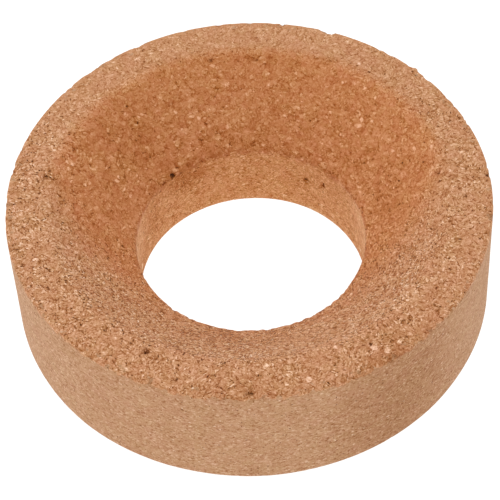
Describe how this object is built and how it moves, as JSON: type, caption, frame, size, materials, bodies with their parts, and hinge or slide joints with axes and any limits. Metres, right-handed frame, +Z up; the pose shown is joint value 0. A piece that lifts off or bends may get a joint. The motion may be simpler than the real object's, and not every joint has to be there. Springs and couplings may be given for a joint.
{
  "type": "cork ring",
  "caption": "Pressed-cork ring with a flat rim, a cone-shaped seat and a straight hole, which holds a round-bottom flask upright.",
  "frame": {"origin": "middle of the underside, on the ring's axis", "axes": "+Z up along the ring's axis, from the underside to the rim"},
  "size_m": [0.14, 0.14, 0.04],
  "materials": {
    "cork": "dry matte pressed cork granules, with light, tan, reddish and dark brown chips"
  },
  "bodies": {
    "root": {"cork_ring": "cork"}
  },
  "joints": []
}
